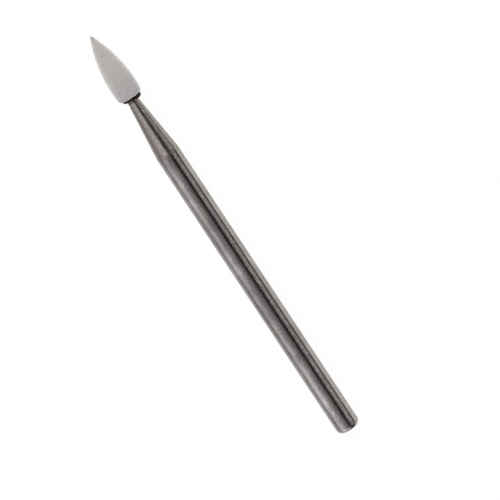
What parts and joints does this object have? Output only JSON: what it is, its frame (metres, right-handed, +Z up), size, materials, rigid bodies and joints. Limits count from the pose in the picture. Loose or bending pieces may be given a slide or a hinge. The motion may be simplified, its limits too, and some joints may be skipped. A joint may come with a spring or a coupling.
{
  "type": "dental finishing stone",
  "caption": "Flame-shaped white finishing stone cemented on the pin of a turned steel handpiece shank, with a slender cone between them.",
  "frame": {"origin": "centre of the shank's flat end, on the axis of rotation", "axes": "+X along the axis of rotation, from the shank's end to the stone's tip; +Z up as the instrument lies on a bench"},
  "size_m": [0.0445, 0.0026, 0.0026],
  "materials": {
    "steel": "ground bright round the shank, finely turned on the cone and the neck",
    "stone": "matte, very fine grain",
    "cement": "dark, half glossy, as it set"
  },
  "bodies": {
    "root": {"shank": "steel", "stone": "stone", "cement": "cement"}
  },
  "joints": []
}
